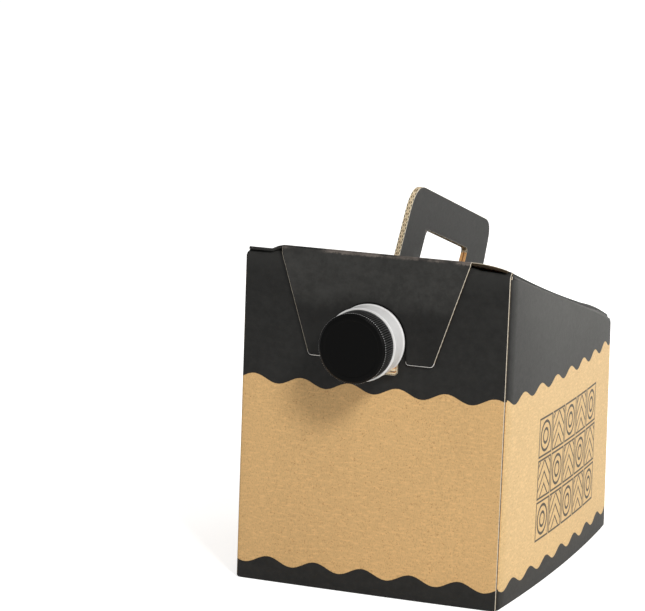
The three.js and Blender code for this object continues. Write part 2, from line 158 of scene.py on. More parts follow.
# The roof slopes from the front fold down to the rear one
def roof_axes():
    s = sizes()
    angle = math.atan2(s.front_height - s.rear_height, s.depth)
    along = Vector((0, math.cos(angle), -math.sin(angle)))
    off = Vector((0, math.sin(angle), math.cos(angle)))
    origin = Vector((0, -s.depth / 2, s.front_height))
    return origin, along, off, angle


def on_roof(x, along_roof, off_roof):
    origin, along, off, _ = roof_axes()
    return origin + RIGHT * x + along * along_roof + off * off_roof


def roof_place(point):
    """Distances along the roof and off it"""
    origin, along, off, _ = roof_axes()
    return (point - origin).dot(along), (point - origin).dot(off)


def roof_length():
    s = sizes()
    return math.hypot(s.front_height - s.rear_height, s.depth)


def rise(x, along_roof, gaping=True):
    """How far the lid stands up; at the right it gapes over the walls, which slope down sooner"""
    s = sizes()
    slope_width = (s.lid_width - s.lid_rise_width) / 2 if x > 0 and gaping else LEFT_LID_SLOPE
    beyond = max(abs(x) - s.lid_rise_width / 2, 0) / slope_width
    fade = min(max(1 - along_roof / roof_length(), 0), 1)
    return s.lid_rise * max(1 - beyond ** 2, 0) * fade


def right_wave(x, along_roof):
    """The roof's right edge sags in the middle and swells near the rear"""
    sag, swell, sag_share = 1.15 * MM, 1.2 * MM, 0.69
    flat_to, full_from = 60 * MM, 74 * MM
    part = min(max(along_roof / roof_length(), 0), 1)
    near_edge = min(max((x - flat_to) / (full_from - flat_to), 0), 1)
    if part < sag_share:
        return -sag * math.sin(math.pi * part / sag_share) * near_edge
    return swell * math.sin(math.pi * (part - sag_share) / (1 - sag_share)) * near_edge


def side_x(y):
    s = sizes()
    return s.width / 2 + s.side_bow * max(1 - (2 * y / s.depth) ** 2, 0)


def front_y(x):
    s = sizes()
    return -s.depth / 2 - s.front_bow * max(1 - (2 * x / s.width) ** 2, 0)


def pinched(point):
    """The rear corners lean in towards the top"""
    s = sizes()
    rearward = min(max(point.y / s.depth + 0.5, 0), 1) ** 2
    lean = s.rear_pinch * rearward * point.z / s.rear_height
    return Vector((point.x - lean * point.x / (s.width / 2), point.y, point.z))


# Modelling by hand: traces, folds and picks
def object_mode():
    if bpy.context.object and bpy.context.object.mode != "OBJECT":
        bpy.ops.object.mode_set(mode="OBJECT")
    bpy.ops.object.select_all(action="DESELECT")


def take_up(piece):
    """Makes a piece the active one and the only one selected"""
    object_mode()
    bpy.context.view_layer.objects.active = piece
    piece.select_set(True)


def edit(piece):
    take_up(piece)
    bpy.ops.object.mode_set(mode="EDIT")


def pick(kind, test):
    """Selects the vertices, edges or faces of the edited piece whose middle passes the test"""
    bpy.context.tool_settings.mesh_select_mode = tuple(kind == k for k in ("VERT", "EDGE", "FACE"))
    mesh = bmesh.from_edit_mesh(bpy.context.object.data)
    for group in (mesh.verts, mesh.edges, mesh.faces):
        for part in group:
            part.select = False
    if kind == "VERT":
        for vertex in mesh.verts:
            vertex.select = test(vertex.co)
    elif kind == "EDGE":
        for edge in mesh.edges:
            if edge.is_boundary or edge.is_wire:
                middle = (edge.verts[0].co + edge.verts[1].co) / 2
                edge.select_set(test(middle))
    else:
        for face in mesh.faces:
            face.select_set(test(face.calc_center_median()))
    mesh.select_flush_mode()
    bmesh.update_edit_mesh(bpy.context.object.data)


def select_everything():
    bpy.ops.mesh.select_all(action="SELECT")


def pull(move):
    """Extrudes what is selected"""
    bpy.ops.mesh.extrude_region_move(TRANSFORM_OT_translate={"value": move})


def trace(name, points, closed=False):
    """A line drawn point by point, left in edit mode with all of it selected"""
    object_mode()
    bpy.ops.mesh.primitive_plane_add(size=MM, location=points[0])
    piece = bpy.context.object
    piece.name = name
    bpy.ops.object.transform_apply(location=True, rotation=True, scale=True)
    bpy.context.tool_settings.mesh_select_mode = (True, False, False)
    bpy.ops.object.mode_set(mode="EDIT")
    select_everything()
    bpy.ops.mesh.merge(type="CENTER")
    for before, after in zip(points, points[1:]):
        pull(after - before)
    if closed:
        ends = (points[0], points[-1])
        pick("VERT", lambda p: min((p - end).length for end in ends) < NEAR)
        bpy.ops.mesh.edge_face_add()
    select_everything()
    return piece


def sheet(name, points):
    """A flat sheet inside an outline, left in edit mode"""
    piece = trace(name, points)
    bpy.ops.mesh.edge_face_add()
    return piece


def fold(into, towards, radius, angle, steps=6):
    """Extrudes the selected edges round a fold that turns from one direction to another"""
    for i in range(steps):
        now, then = angle * i / steps, angle * (i + 1) / steps
        ahead = math.sin(then) - math.sin(now)
        aside = math.cos(now) - math.cos(then)
        pull(radius * (into * ahead + towards * aside))


def rounded(corners, steps=6):
    """The points of an outline whose corners are rounded by the radius that each one has"""
    points = []
    for i, (corner, radius) in enumerate(corners):
        before = (corners[i - 1][0] - corner).normalized()
        after = (corners[(i + 1) % len(corners)][0] - corner).normalized()
        if radius == 0:
            points.append(corner)
            continue
        start, end = corner + before * radius, corner + after * radius
        for k in range(steps + 1):
            t = k / steps
            points.append(start * (1 - t) ** 2 + corner * 2 * t * (1 - t) + end * t ** 2)
    return points


def row(first, last, count):
    """Evenly spaced places from first to last"""
    return [first + (last - first) * i / count for i in range(count + 1)]


def reshape(piece, change):
    for vertex in piece.data.vertices:
        vertex.co = change(vertex.co.copy())


def modify(piece, kind, **settings):
    take_up(piece)
    modifier = piece.modifiers.new(kind.title(), kind)
    for key, value in settings.items():
        setattr(modifier, key, value)
    bpy.ops.object.modifier_apply(modifier=modifier.name)


def smooth(piece, angle=35):
    take_up(piece)
    bpy.ops.object.shade_smooth_by_angle(angle=math.radians(angle))


def face_outwards(piece, sample, direction):
    """Turns the whole sheet so that the face nearest to the sample looks in the direction"""
    edit(piece)
    select_everything()
    bpy.ops.mesh.normals_make_consistent(inside=False)
    bpy.ops.object.mode_set(mode="OBJECT")
    nearest = min(piece.data.polygons, key=lambda face: (face.center - sample).length)
    if nearest.normal.dot(direction) < 0:
        edit(piece)
        select_everything()
        bpy.ops.mesh.flip_normals()
        bpy.ops.object.mode_set(mode="OBJECT")


def thicken(piece, finishes, choose=None, recut=None):
    """Gives a printed sheet its thickness, inner liner and raw edges

    The last two finishes are the inner liner's and the raw edge's. choose gives a printed face
    its finish, and recut may give a face of the liner or the edge another one.
    """
    mesh = piece.data
    vertex_count, face_count = len(mesh.vertices), len(mesh.polygons)
    for finish in finishes:
        mesh.materials.append(finish)
    inner, edge = len(finishes) - 2, len(finishes) - 1
    if choose:
        for face in mesh.polygons:
            face.material_index = choose(face)
    modify(piece, "SOLIDIFY", thickness=sizes().board, offset=-1, use_even_offset=True,
           use_rim=True)
    mesh = piece.data
    rim_sides = {}
    for i, face in enumerate(mesh.polygons):
        if i >= 2 * face_count:
            face.material_index = edge
            for key in face.edge_keys:
                rim_sides[key] = rim_sides.get(key, 0) + 1
        elif i >= face_count:
            face.material_index = inner
    depth = mesh.attributes.new("board_depth", "FLOAT", "POINT")
    for i in range(len(mesh.vertices)):
        depth.data[i].value = 0.0 if i < vertex_count else 1.0
    burr = mesh.attributes.new("bevel_weight_edge", "FLOAT", "EDGE")
    for cut in mesh.edges:
        outer = max(cut.vertices) < vertex_count
        burr.data[cut.index].value = 1.0 if outer and rim_sides.get(cut.key) == 1 else 0.0
    modify(piece, "BEVEL", width=CUT_BURR, segments=1, limit_method="WEIGHT", material=edge,
           loop_slide=False)
    if recut:
        for face in piece.data.polygons:
            if face.material_index in (inner, edge):
                face.material_index = recut(face.center, face.material_index)
    smooth(piece)


# Shader maths written as expressions
class Value:
    """A socket that takes part in sums"""

    def __init__(self, finish, socket):
        self.finish = finish
        self.socket = socket

    def math(self, operation, *others):
        inputs = {0: self}
        for i, other in enumerate(others):
            inputs[i + 1] = other
        return self.finish.node("ShaderNodeMath", {"operation": operation}, inputs)

    def reflected(self, operation, other):
        return self.finish.node("ShaderNodeMath", {"operation": operation}, {0: other, 1: self})

    def __add__(self, other):
        return self.math("ADD", other)

    def __radd__(self, other):
        return self.reflected("ADD", other)

    def __sub__(self, other):
        return self.math("SUBTRACT", other)

    def __rsub__(self, other):
        return self.reflected("SUBTRACT", other)

    def __mul__(self, other):
        return self.math("MULTIPLY", other)

    def __rmul__(self, other):
        return self.reflected("MULTIPLY", other)

    def __truediv__(self, other):
        return self.math("DIVIDE", other)

    def __rtruediv__(self, other):
        return self.reflected("DIVIDE", other)

    def sine(self):
        return self.math("SINE")

    def size(self):
        return self.math("ABSOLUTE")

    def least(self, other):
        return self.math("MINIMUM", other)

    def most(self, other):
        return self.math("MAXIMUM", other)

    def cycle(self, period):
        return self.math("FLOORED_MODULO", period)

    def whole(self):
        return self.math("FLOOR")

    def above(self, low, high):
        """0 below low, 1 above high, and smooth between"""
        return self.finish.node("ShaderNodeMapRange", {"interpolation_type": "SMOOTHSTEP"},
                                {"Value": self, "From Min": low, "From Max": high})

    def below(self, low, high):
        return 1 - self.above(low, high)


class Finish:
    """A procedural material"""

    # Where a Mix node keeps its colour sockets
    MIX_FIRST, MIX_SECOND, MIX_RESULT = 6, 7, 2

    def __init__(self, name):
        self.material = bpy.data.materials.new(name)
        self.material.use_nodes = True
        self.tree = self.material.node_tree
        self.shader = self.tree.nodes["Principled BSDF"]

    def node(self, kind, settings=None, inputs=None, output=0):
        made = self.tree.nodes.new(kind)
        for key, value in (settings or {}).items():
            setattr(made, key, value)
        for key, value in (inputs or {}).items():
            self.give(made.inputs[key], value)
        return Value(self, made.outputs[output])

    def give(self, socket, value):
        if isinstance(value, Value):
            self.tree.links.new(value.socket, socket)
        else:
            socket.default_value = value

    def shade(self, **inputs):
        for key, value in inputs.items():
            self.give(self.shader.inputs[key.replace("_", " ")], value)
        return self.material

    def place(self):
        return self.node("ShaderNodeTexCoord", output="Object")

    def axes(self):
        """X, Y and Z in millimetres"""
        split = self.node("ShaderNodeSeparateXYZ", None, {0: self.place()}).socket.node
        return [Value(self, split.outputs[i]) / MM for i in range(3)]

    def stretched(self, x=1, y=1, z=1):
        return self.node("ShaderNodeVectorMath", {"operation": "MULTIPLY"},
                         {0: self.place(), 1: (x, y, z)})

    def noise(self, scale, detail=3, roughness=0.5, vector=None):
        """Cloudy noise, its scale in cells per metre"""
        return self.node("ShaderNodeTexNoise", None, {
            "Vector": vector or self.place(), "Scale": scale, "Detail": detail,
            "Roughness": roughness})

    def attribute(self, name):
        return self.node("ShaderNodeAttribute", {"attribute_name": name}, None, "Fac")

    def mix(self, first, second, factor):
        """Colours mixed by a factor"""
        first, second = (tone if isinstance(tone, Value) else (*tone, 1) for tone in (first, second))
        inputs = {"Factor": factor, self.MIX_FIRST: first, self.MIX_SECOND: second}
        return self.node("ShaderNodeMix", {"data_type": "RGBA"}, inputs, self.MIX_RESULT)

    def bump(self, height, strength, distance):
        return self.node("ShaderNodeBump", None, {
            "Height": height, "Strength": strength, "Distance": distance})


class Surroundings(Finish):
    """The nodes of a world"""

    def __init__(self, name):
        self.world = bpy.data.worlds.new(name)
        self.world.use_nodes = True
        self.tree = self.world.node_tree


def scaled(rgb, factor):
    return tuple(min(channel * factor, 1) for channel in rgb)


def kraft_colour(finish, base):
    """Kraft liner: soft clouds, fine fibres and sparse darker specks"""
    clouds = finish.noise(16, 3).above(0.3, 0.7)
    fibres = finish.noise(1500, 3, 0.65, finish.stretched(1, 1, 0.5)).above(0.42, 0.68)
    streaks = finish.noise(800, 2, 0.5, finish.stretched(0.3, 0.3, 1)).above(0.45, 0.75)
    specks = finish.noise(1100, 2, 0.5).above(0.62, 0.7)
    tone = finish.mix(scaled(base, 0.97), scaled(base, 1.03), clouds)
    tone = finish.mix(tone, scaled(base, 0.72), fibres * 0.6)
    tone = finish.mix(tone, scaled(base, 1.35), streaks * 0.38)
    return finish.mix(tone, (base[0] * 0.62, base[1] * 0.5, base[2] * 0.4), specks * 0.7)


def ink_colour(finish, base, kraft):
    """Black print: a little mottled, with kraft showing through in pin holes"""
    mottle = finish.noise(220, 4, 0.7).above(0.3, 0.75)
    pin_holes = finish.noise(2600, 1, 0.4).above(0.73, 0.8)
    smears = finish.noise(45, 4, 0.6, finish.stretched(1, 1, 2.2)).above(0.4, 0.75)
    tone = finish.mix(scaled(base, 0.9), scaled(base, 1.5), mottle)
    tone = finish.mix(tone, scaled(base, 2.0), smears * 0.4)
    return finish.mix(tone, scaled(kraft, 0.2), pin_holes * 0.3)


def board_bump(finish, flutes_along):
    """The liner's tooth, with the flutes faintly printed through"""
    tooth = finish.noise(1100, 3, 0.65)
    waves = finish.noise(60, 2, 0.5)
    ridges = (flutes_along * (2 * math.pi / FLUTE_PITCH)).sine()
    height = tooth * 0.35 + waves * 0.7 + ridges * 0.05
    return finish.bump(height, 0.55, 0.00016)


def wear_mask(finish, distance, reach=1.4):
    """Rubbed ink near a fold, from the distance to it"""
    ragged = finish.noise(900, 4, 0.7) - 0.5
    patches = finish.noise(55, 3, 0.6).above(0.38, 0.58)
    return (distance + ragged * 3 * reach).below(0.0, reach) * patches


def side_motifs(y, z):
    """Plain line tiles on the side panel: rings and chevrons in turn, five across and three up"""
    tile, columns, storeys = 25, 5, 3
    first_y, first_z = -54, 27
    line, blur = 0.7, 0.3
    outer_ring, inner_ring, chevron_pitch = 8.6, 4.2, 7.2
    frame_inset, frame_line, motif_inset = 1.2, 0.45, 2.2

    def drawn(distance, width=line):
        return distance.size().below(width, width + blur)

    def among(index, count):
        return index.above(-0.6, -0.4) * index.below(count - 0.6, count - 0.4)

    across, level = y - first_y, z - first_z
    column, storey = (across / tile).whole(), (level / tile).whole()
    u = across.cycle(tile) - tile / 2
    v = level.cycle(tile) - tile / 2
    radius = (u * u + v * v).math("SQRT")
    reach = u.size().most(v.size())
    rings = drawn(radius - outer_ring).most(drawn(radius - inner_ring))
    chevrons = drawn((u.size() + v).cycle(chevron_pitch) - chevron_pitch / 2)
    chevrons = chevrons * reach.below(tile / 2 - motif_inset, tile / 2 - motif_inset + blur)
    kind = (column + storey).cycle(2)
    motif = (rings * (1 - kind) + chevrons * kind).least(1)
    border = drawn(reach - (tile / 2 - frame_inset), frame_line)
    return motif.most(border) * among(column, columns) * among(storey, storeys)


def printed_board(name, along_axis, upper_crest, lower_crest, motifs_and_sheen=False):
    """A panel with a kraft band between two wavy black borders"""
    finish = Finish(name)
    axes = finish.axes()
    along, z = axes[along_axis], axes[2]
    kraft, ink = tuple(colours().kraft), tuple(colours().ink)

    def wave(crest, level):
        turn = 2 * math.pi / WAVE_PITCH
        return ((along - crest) * turn + math.pi / 2).sine() * WAVE_HEIGHT + level

    upper, lower = wave(upper_crest, UPPER_BORDER), wave(lower_crest, LOWER_BORDER)
    bleed = (finish.noise(1300, 2) - 0.5) * 0.35
    blur = 0.12
    inked = (z - upper + bleed).above(-blur, blur).most((lower - z + bleed).above(-blur, blur))
    if motifs_and_sheen:
        inked = inked.most(side_motifs(axes[1], z) * 0.92)
        # The side panel's kraft is also made paler and cooler: a painted sheen of light glancing off the
        # side.
        kraft = (kraft[0] * 0.95, kraft[1] * 1.03, kraft[2] * 1.12)
    s = sizes()
    half_width, half_depth = s.width / 2 / MM, s.depth / 2 / MM
    corner = (half_width - axes[0].size()).size().most((half_depth - axes[1].size()).size())
    worn = wear_mask(finish, corner, 1.1)
    # Painted highlight: the ink is lighter towards the panel's top fold.
    top_fold, highlight_start, highlight_end = s.front_height / MM, 14.4, 1.4
    fold_highlight = z.above(top_fold - highlight_start, top_fold - highlight_end)
    print_tone = finish.mix(ink_colour(finish, ink, kraft), scaled(ink, 2.2), fold_highlight * 0.7)
    tone = finish.mix(kraft_colour(finish, kraft), print_tone, inked)
    tone = finish.mix(tone, scaled(kraft, 0.62), worn * 0.55)
    rough = 0.62 - inked * 0.08 + finish.noise(500, 2) * 0.1
    return finish.shade(Base_Color=tone, Roughness=rough, Normal=board_bump(finish, z),
                        Specular_IOR_Level=0.3)


def black_board(name, fold_distance=None, painted_light_scale=1.0, sunlit=False, shade_under_lid=False):
    """Board printed black all over

    fold_distance says where the ink is rubbed, the scale gives each piece a lighter or darker copy
    of the ink as painted light and shade, sunlit pales the upper part of the flap, and the last flag
    darkens what lies under the lid as painted shade.
    """
    finish = Finish(name)
    axes = finish.axes()
    # Each piece gets a lighter or darker copy of the one ink: painted light and shade.
    kraft, ink = tuple(colours().kraft), scaled(tuple(colours().ink), painted_light_scale)
    tone = ink_colour(finish, ink, kraft)
    if sunlit:
        ragged = (finish.noise(30, 3) - 0.5) * 16
        pale_from, pale_to = 164, 177
        paler = ink_colour(finish, scaled(ink, 3.0), kraft)
        tone = finish.mix(tone, paler, (axes[2] + ragged).above(pale_from, pale_to))
    if shade_under_lid:
        # Painted shade: the ink is darkened where the board lies under the lid.
        _, _, _, slope = roof_axes()
        from_fold = axes[1] + sizes().depth / 2 / MM
        tone = finish.mix(tone, scaled(ink, 0.1), (from_fold / math.cos(slope)).above(0.8, 2.2))
    if fold_distance:
        rubbed = (0.2, 0.17, 0.15)
        tone = finish.mix(tone, rubbed, wear_mask(finish, fold_distance(axes)) * 0.75)
    rough = 0.52 + finish.noise(500, 2) * 0.1
    return finish.shade(Base_Color=tone, Roughness=rough, Normal=board_bump(finish, axes[2]),
                        Specular_IOR_Level=0.26)


def inner_board():
    """The unprinted inner liner"""
    finish = Finish("inner_kraft")
    tone = kraft_colour(finish, tuple(colours().inner))
    return finish.shade(Base_Color=tone, Roughness=0.82, Normal=board_bump(finish, finish.axes()[2]),
                        Specular_IOR_Level=0.3)


def raw_edge(shaded_behind_burr=False, pale_below=None):
    """A cut edge: two liners with a fluted sheet between them

    The first flag darkens the edge behind the burr as painted shade, leaving only a thin pale line
    along the print, and pale_below is the height under which that line is paler.
    """
    finish = Finish("raw_edge")
    depth = finish.attribute("board_depth") * 2 - 1
    across_flutes = finish.axes()[2] * math.cos(roof_axes()[3])
    flute = (across_flutes * (2 * math.pi / FLUTE_PITCH)).sine() * 0.72
    ragged = (finish.noise(1600, 2) - 0.5) * 0.35
    cavity = (depth - flute + ragged).size().above(0.56, 0.8) * depth.size().below(0.6, 0.74)
    liner = tuple(colours().kraft)
    pale_liner = (liner[0] * 1.15, liner[1] * 1.5, liner[2] * 2.3)
    burr_tone, low_burr_tone = (0.60, 0.57, 0.52), (0.95, 0.94, 0.92)
    burr = depth.below(-0.98, -0.55)
    # The flute hollows are darkened: painted shade in the cavities.
    tone = finish.mix(kraft_colour(finish, pale_liner), scaled(liner, 0.12), cavity)
    # Painted shade: the edge behind the burr is darkened.
    if shaded_behind_burr:
        tone = finish.mix(tone, scaled(liner, 0.05), depth.above(-0.8, -0.5))
    torn = finish.noise(500, 3, 0.6).above(0.35, 0.7)
    tone = finish.mix(tone, burr_tone, burr * (0.72 + torn * 0.28))
    if pale_below:
        low = finish.axes()[2].below(pale_below, pale_below + 1)
        tone = finish.mix(tone, low_burr_tone, depth.below(-0.75, -0.3) * low)
    return finish.shade(Base_Color=tone, Roughness=0.88, Specular_IOR_Level=0.25,
                        Normal=finish.bump(1 - cavity, 0.9, 0.0006))


def moulded_plastic(name, rgb, roughness, grain):
    """Plastic with a faint moulding grain and handling marks"""
    finish = Finish(name)
    clouds = finish.noise(80, 3).above(0.3, 0.7)
    scuffs = finish.noise(900, 4, 0.7, finish.stretched(1, 0.2, 1)).above(0.62, 0.75)
    tone = finish.mix(scaled(rgb, 0.96), scaled(rgb, 1.03), clouds)
    tone = finish.mix(tone, scaled(rgb, 0.9), scuffs * 0.5)
    rough = roughness + clouds * 0.05 + scuffs * 0.1
    height = finish.noise(2400, 2, 0.6)
    return finish.shade(Base_Color=tone, Roughness=rough, Normal=finish.bump(height, grain, 0.0001))


def film_finish():
    """Wrinkled metallised film"""
    finish = Finish("bag_film")
    rgb = tuple(colours().film)
    wrinkles = finish.noise(55, 5, 0.65, finish.stretched(1, 1, 0.5))
    tone = finish.mix(scaled(rgb, 0.85), scaled(rgb, 1.12), wrinkles.above(0.35, 0.7))
    rough = 0.28 + wrinkles * 0.2
    return finish.shade(Base_Color=tone, Roughness=rough, Normal=finish.bump(wrinkles, 0.8, 0.002),
                        Metallic=0.35)


def foam_finish():
    """Foamed plastic with fine cells"""
    finish = Finish("liner_foam")
    rgb = tuple(colours().foam)
    cells = finish.noise(1800, 2, 0.5)
    tone = finish.mix(scaled(rgb, 0.94), rgb, cells.above(0.35, 0.65))
    return finish.shade(Base_Color=tone, Roughness=0.8, Normal=finish.bump(cells, 0.5, 0.0002))


def settle(piece, body, slot, *replaced):
    """Closes a piece: who carries it and which nodes it stands for; slot is not used"""
    object_mode()
    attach(piece, body)
    if replaced:
        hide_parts(*replaced)


def front_fold_distance(axes):
    """Distance below the top of the flap's fold"""
    fold_above_panel = 3.9
    return (sizes().front_height / MM + fold_above_panel - axes[2]).most(0)


def handle_rim_distance(axes):
    """Distance from the upper edge of the hand hole, along its middle"""
    origin, _, _, angle = roof_axes()
    hole_middle, hole_reach, rim = -13, 30, 0.6
    v = (axes[1] - origin.y / MM) * math.sin(angle) + (axes[2] - origin.z / MM) * math.cos(angle)
    from_rim = (v - sizes().hole_top / MM - rim).size()
    return from_rim.most((axes[1] - hole_middle).size() - hole_reach)


class CARTON_OT_walls(bpy.types.Operator):
    """Folds the walls, the glued joint, the dust flap and the side flaps from one sheet"""
    bl_idname = "carton.walls"
    bl_label = "Walls"

    side_fold = 2.4 * MM

    def plan(self):
        """The walls seen from above, from the glued joint all round to its tab"""
        s = sizes()
        x, y, r = s.width / 2, s.depth / 2, s.board
        joint_gap, lap_gap, tab_length = 0.6 * MM, 0.05 * MM, 32 * MM
        joint_x, lap_y = x - joint_gap, -y + s.board + lap_gap
        front_steps, side_steps, rear_steps, tab_steps, corner_steps = 18, 26, 8, 5, 6

        def corner(cx, cy, first):
            turns = [math.radians(first - 90 * k / corner_steps) for k in range(corner_steps + 1)]
            return [Vector((cx + r * math.cos(t), cy + r * math.sin(t), r)) for t in turns][1:]

        points = [Vector((px, front_y(px), r)) for px in row(joint_x, -x + r, front_steps)]
        points += corner(-x + r, -y + r, 270)
        points += [Vector((-side_x(py), py, r)) for py in row(-y + r, y - r, side_steps)][1:]
        points += corner(-x + r, y - r, 180)
        points += [Vector((px, y, r)) for px in row(-x + r, x - r, rear_steps)][1:]
        points += corner(x - r, y - r, 90)
        points += [Vector((side_x(py), py, r)) for py in row(y - r, lap_y + r, side_steps)][1:]
        points += corner(x - r, lap_y + r, 0)
        tab = row(x - r, x - tab_length, tab_steps)[1:]
        return points + [Vector((px, lap_y + front_y(px) + y, r)) for px in tab]

    def on_cut(self, p):
        """Whether a place lies on the slanting cut where the roof's folds begin"""
        return abs(roof_place(p)[1] + self.side_fold) < NEAR

    def side_flap(self, side):
        """Folds one side flap inwards from its wall"""
        s = sizes()
        _, _, off, _ = roof_axes()
        half_width, inner_x = s.width / 2, s.width / 2 - self.side_fold
        corner_slack, fold_slack, start, middle_gap, strips = 0.4 * MM, 1.2 * MM, 12 * MM, 3 * MM, 12
        pick("EDGE", lambda p: self.on_cut(p) and p.x * side > half_width - corner_slack
             and abs(p.y) < s.depth / 2 - s.board)
        fold(off, -RIGHT * side, self.side_fold, math.pi / 2)
        pick("EDGE", lambda p: abs(roof_place(p)[1]) < NEAR and p.x * side > inner_x - fold_slack
             and roof_place(p)[0] > start)
        for _ in range(strips):
            pull(-RIGHT * side * (inner_x - middle_gap) / strips)

    def dust_flap(self):
        """Folds the front panel over under the lid"""
        s = sizes()
        _, along, _, angle = roof_axes()
        radius, slack, corner_inset = 2.54 * MM, 0.3 * MM, 1.4 * MM
        half_flap, strips, flap_length = 60 * MM, 4, 40 * MM
        fold_level, level_slack, fold_reach = 0.8 * MM, 0.5 * MM, 8 * MM
        pick("EDGE", lambda p: self.on_cut(p) and p.y < front_y(p.x) + slack
             and abs(p.x) < s.width / 2 - corner_inset)
        fold(UP, REARWARD, radius, math.pi / 2 + angle)
        pick("EDGE", lambda p: abs(roof_place(p)[1] - fold_level) < level_slack
             and abs(p.x) < half_flap and abs(roof_place(p)[0]) < fold_reach)
        for _ in range(strips):
            pull(along * flap_length / strips)

    def rear_lip(self):
        """Raises the rear panel to the lid's rear fold"""
        slack, lip = 0.3 * MM, 2.45 * MM
        pick("EDGE", lambda p: self.on_cut(p) and p.y > sizes().depth / 2 - slack)
        pull(UP * lip)

    def base_fold(self):
        """Rounds the walls in under the carton"""
        s = sizes()
        steps = 4
        pick("EDGE", lambda p: p.z < s.board + NEAR)
        for i in range(steps):
            now, then = math.pi / 2 * i / steps, math.pi / 2 * (i + 1) / steps
            inset = s.board * (math.cos(now) - math.cos(then))
            pull(-UP * s.board * (math.sin(then) - math.sin(now)))
            bpy.ops.transform.resize(
                value=(1 - 2 * inset / s.width, 1 - 2 * inset / s.depth, 1),
                center_override=(0, 0, 0))

    def settled(self, p):
        """A wall's place once the roof has risen, sagged and curled"""
        s = sizes()
        _, _, off, _ = roof_axes()
        curl_out, curl_length = off * 1.1 * MM + RIGHT * 0.5 * MM, 7 * MM
        u, v = roof_place(p)
        if v > -self.side_fold and -s.depth / 2 < p.y:
            lift = rise(p.x, u, gaping=False) + right_wave(p.x, u)
            p = p + off * lift * min(max(1 + v / self.side_fold, 0), 1)
            if p.x > s.width / 2 - 1.5 * self.side_fold:
                curl = math.exp(-max(u, 0) / curl_length) * min(1 + v / self.side_fold, 1)
                p = p + curl_out * curl
        return pinched(p)

    def panel(self, face):
        """The finish of a face: front, right, left, rear or roof"""
        front, right, left, rear, roof = range(5)
        if roof_place(face.center)[1] > -1.5 * self.side_fold:
            return roof
        if abs(face.normal.y) < 0.6:
            return right if face.center.x > 0 else left
        return front if face.center.y < 0 else rear

    def execute(self, context):
        s = sizes()
        origin, _, off, _ = roof_axes()
        piece = trace("carton_walls", self.plan())
        pull(UP * (s.front_height + 3 * self.side_fold))
        select_everything()
        bpy.ops.mesh.bisect(plane_co=origin - off * self.side_fold, plane_no=off, clear_outer=True)
        for side in (-1, 1):
            self.side_flap(side)
        self.dust_flap()
        self.rear_lip()
        self.base_fold()
        object_mode()
        reshape(piece, self.settled)
        face_outwards(piece, Vector((0, -s.depth / 2, s.front_height / 2)), -REARWARD)
        finishes = [
            printed_board("front_print", 0, -72.2, -60.2),
            printed_board("right_print", 1, -112.46, -89.3, motifs_and_sheen=True),
            printed_board("left_print", 1, -104.0, -92.0),
            printed_board("rear_print", 0, -66.0, -58.0),
            black_board("roof_print", None, 1.7, shade_under_lid=True),
            inner_board(),
            raw_edge(shaded_behind_burr=True),
        ]

        def recut(p, finish):
            left_top = p.x < -0.45 * s.width and roof_place(p)[1] > -2 * self.side_fold
            return 0 if left_top and finish == len(finishes) - 1 else finish

        thicken(piece, finishes, self.panel, recut)
        settle(piece, "carton", "printed_board", "carton")
        return {"FINISHED"}


class CARTON_OT_base(bpy.types.Operator):
    """Closes the carton below with two flaps, one tongued into the other"""
    bl_idname = "carton.base"
    bl_label = "Base flaps"

    def outline(self, rear):
        s = sizes()
        inset, seam_y, gap, side_steps = 1.7 * MM, -18 * MM, 0.8 * MM, 14
        tongue, taper, reach = 38 * MM, 8 * MM, 28 * MM
        shift = gap / 2 if rear else -gap / 2
        seam = [(-tongue, 0), (taper - tongue, reach), (tongue - taper, reach), (tongue, 0)]
        line = [Vector((x, seam_y + y + shift, 0)) for x, y in seam]
        end = (s.depth / 2 - inset) * (1 if rear else -1)
        ys = row(line[-1].y, end, side_steps)
        right_side = [Vector((side_x(y) - inset, y, 0)) for y in ys]
        left_side = [Vector((inset - side_x(y), y, 0)) for y in reversed(ys)]
        return line + right_side + left_side

    def execute(self, context):
        inner, edge = inner_board(), raw_edge()
        for rear, name in ((False, "base_tongue_flap"), (True, "base_rear_flap")):
            piece = sheet(name, self.outline(rear))
            object_mode()
            face_outwards(piece, Vector((0, 0, 0)), -UP)
            thicken(piece, [black_board(name + "_print"), inner, edge])
            settle(piece, "carton", "printed_board")
        return {"FINISHED"}


